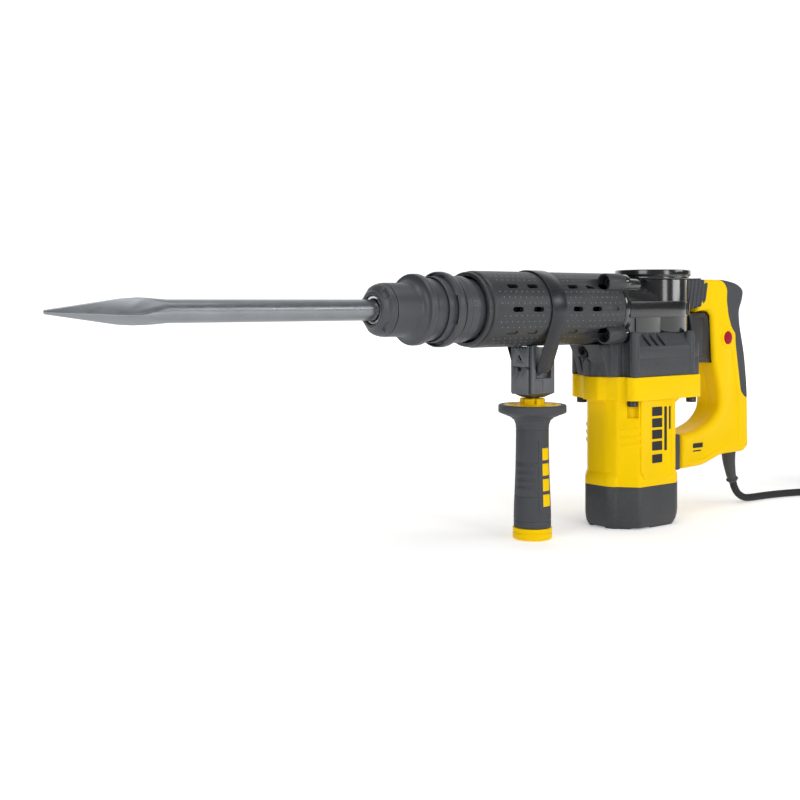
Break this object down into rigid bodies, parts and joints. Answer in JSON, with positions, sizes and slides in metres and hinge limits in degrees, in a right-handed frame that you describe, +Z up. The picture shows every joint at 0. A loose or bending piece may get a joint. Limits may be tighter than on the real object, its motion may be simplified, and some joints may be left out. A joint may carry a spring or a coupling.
{
  "type": "electric demolition hammer",
  "caption": "Electric demolition hammer with point chisel, vertical motor, swivelling side grip and sprung D-shaped rear handle",
  "frame": {"origin": "on the floor under the motor, midway between the four housing screws; the hammer stands on its motor end cap and side grip", "axes": "+X along the impact axis towards the rear handle (the chisel points to -X), +Z up, +Y to the left seen from the rear handle"},
  "size_m": [1.0786, 0.1215, 0.2575],
  "materials": {
    "yellow_plastic": "fine moulded texture, saturated yellow",
    "grey_plastic": "dark grey glass-filled nylon",
    "black_gloss": "gloss black coated housing",
    "black_plastic": "black moulded plastic",
    "soft_rubber": "soft dark rubber",
    "cord_sheath": "black rubber cord sheath",
    "clamp_steel": "blackened steel",
    "forged_steel": "satin grey forged steel",
    "machined_steel": "ground steel",
    "screw_steel": "black zinc",
    "motor_iron": "varnished laminations",
    "copper_winding": "enamelled copper",
    "carbon": "carbon block",
    "red_button": "crimson moulded plastic"
  },
  "bodies": {
    "housing": {"motor_housing": "yellow_plastic", "motor_end_cap": "grey_plastic", "gear_housing": "black_gloss", "crankcase": "black_gloss", "crankcase_cover": "black_gloss", "barrel_tube": "machined_steel", "barrel_sleeve": "grey_plastic", "neck_collar": "black_gloss", "housing_screw_1": "screw_steel", "housing_screw_2": "screw_steel", "housing_screw_3": "screw_steel", "housing_screw_4": "screw_steel", "stator_core": "motor_iron", "stator_winding": "copper_winding", "armature_bearing_lower": "machined_steel", "armature_bearing_upper": "machined_steel", "carbon_brush_1": "carbon", "carbon_brush_2": "carbon", "crank_bearing_lower": "machined_steel", "crank_bearing_upper": "machined_steel", "bellows": "soft_rubber", "avc_spring": "screw_steel", "lower_joint_pad": "soft_rubber", "pivot_pin": "machined_steel", "cord_lead": "cord_sheath", "cord_coil": "cord_sheath", "cord_plug": "black_plastic", "cord_tail": "cord_sheath"},
    "armature": {"armature_shaft": "machined_steel", "armature_core": "motor_iron", "commutator": "copper_winding", "cooling_fan": "grey_plastic"},
    "crank": {"crankshaft": "machined_steel", "crank_gear": "machined_steel"},
    "piston": {"piston": "machined_steel", "wrist_pin": "machined_steel"},
    "connecting_rod": {"connecting_rod": "forged_steel"},
    "ram": {"ram": "machined_steel"},
    "striker": {"striker": "machined_steel"},
    "tool_holder": {"tool_holder": "machined_steel", "dust_cap": "soft_rubber", "lock_spring": "screw_steel"},
    "lock_bar_near": {"lock_bar_1": "machined_steel"},
    "lock_bar_far": {"lock_bar_2": "machined_steel"},
    "locking_sleeve": {"locking_sleeve": "soft_rubber"},
    "index_ring": {"index_ring": "soft_rubber"},
    "chisel": {"chisel": "forged_steel"},
    "side_clamp": {"clamp_band": "clamp_steel", "clamp_block": "black_gloss", "clamp_saddle": "clamp_steel", "clamp_bolt": "clamp_steel"},
    "side_grip": {"side_grip_core": "yellow_plastic", "side_grip_rubber": "soft_rubber"},
    "rear_handle": {"handle_shell_near": "yellow_plastic", "handle_shell_far": "yellow_plastic", "grip_overmold": "soft_rubber", "switch_module": "black_plastic", "cord_guard": "soft_rubber"},
    "trigger": {"trigger": "black_plastic"},
    "lock_button": {"lock_button": "red_button"}
  },
  "joints": [
    {"name": "crank_spin", "type": "hinge", "parent": "housing", "child": "crank", "pos_m": [0.0253, 0, 0.218], "axis": [0, 0, 1], "continuous": true},
    {"name": "armature_spin", "type": "hinge", "parent": "housing", "child": "armature", "pos_m": [-0.012, 0, 0.1], "axis": [0, 0, 1], "continuous": true},
    {"name": "piston_stroke", "type": "slide", "parent": "housing", "child": "piston", "axis": [1, 0, 0], "range_m": [0, 0.026]},
    {"name": "rod_swing", "type": "hinge", "parent": "piston", "child": "connecting_rod", "pos_m": [-0.062, 0, 0.218], "axis": [0, 0, 1], "range_deg": [-10, 10]},
    {"name": "ram_flight", "type": "slide", "parent": "housing", "child": "ram", "axis": [1, 0, 0], "range_m": [-0.0085, 0.04]},
    {"name": "tool_turn", "type": "hinge", "parent": "housing", "child": "tool_holder", "pos_m": [-0.25, 0, 0.218], "axis": [1, 0, 0], "continuous": true},
    {"name": "sleeve_pull", "type": "slide", "parent": "tool_holder", "child": "locking_sleeve", "axis": [1, 0, 0], "range_m": [0, 0.007], "stiffness_N_per_m": 1500, "springref_m": -0.01, "deforming": ["lock_spring"]},
    {"name": "lock_bar_near_lift", "type": "slide", "parent": "tool_holder", "child": "lock_bar_near", "axis": [0, -1, 0], "range_m": [0, 0.003]},
    {"name": "lock_bar_far_lift", "type": "slide", "parent": "tool_holder", "child": "lock_bar_far", "axis": [0, 1, 0], "range_m": [0, 0.003]},
    {"name": "index_ring_slide", "type": "slide", "parent": "tool_holder", "child": "index_ring", "axis": [-1, 0, 0], "range_m": [0, 0.0035], "stiffness_N_per_m": 1500, "springref_m": -0.01},
    {"name": "chisel_play", "type": "slide", "parent": "tool_holder", "child": "chisel", "axis": [-1, 0, 0], "range_m": [0, 0.028]},
    {"name": "striker_follow", "type": "slide", "parent": "housing", "child": "striker", "axis": [-1, 0, 0], "range_m": [0, 0.00336]},
    {"name": "side_clamp_swing", "type": "hinge", "parent": "housing", "child": "side_clamp", "pos_m": [-0.1495, 0, 0.218], "axis": [1, 0, 0], "continuous": true},
    {"name": "side_grip_turn", "type": "hinge", "parent": "side_clamp", "child": "side_grip", "pos_m": [-0.1495, 0, 0.13], "axis": [0, 0, 1], "range_deg": [-360, 0]},
    {"name": "handle_damping", "type": "hinge", "parent": "housing", "child": "rear_handle", "pos_m": [0.0463, 0, 0.068], "axis": [0, 1, 0], "range_deg": [-1.5, 1], "stiffness_Nm_per_rad": 900, "deforming": ["bellows", "avc_spring", "cord_lead"]},
    {"name": "trigger_pull", "type": "slide", "parent": "rear_handle", "child": "trigger", "axis": [1, 0, 0], "range_m": [0, 0.0055], "stiffness_N_per_m": 1500, "springref_m": -0.004},
    {"name": "lock_button_press", "type": "slide", "parent": "rear_handle", "child": "lock_button", "axis": [0, 1, 0], "range_m": [0, 0.0035], "stiffness_N_per_m": 700, "springref_m": -0.002}
  ],
  "couplings": [
    {"joint": "armature_spin", "follows": "crank_spin", "ratio": -4},
    {"joint": "lock_bar_near_lift", "follows": "sleeve_pull", "ratio": 0.42857},
    {"joint": "lock_bar_far_lift", "follows": "sleeve_pull", "ratio": 0.42857},
    {"joint": "striker_follow", "follows": "chisel_play", "ratio": 0.12}
  ]
}
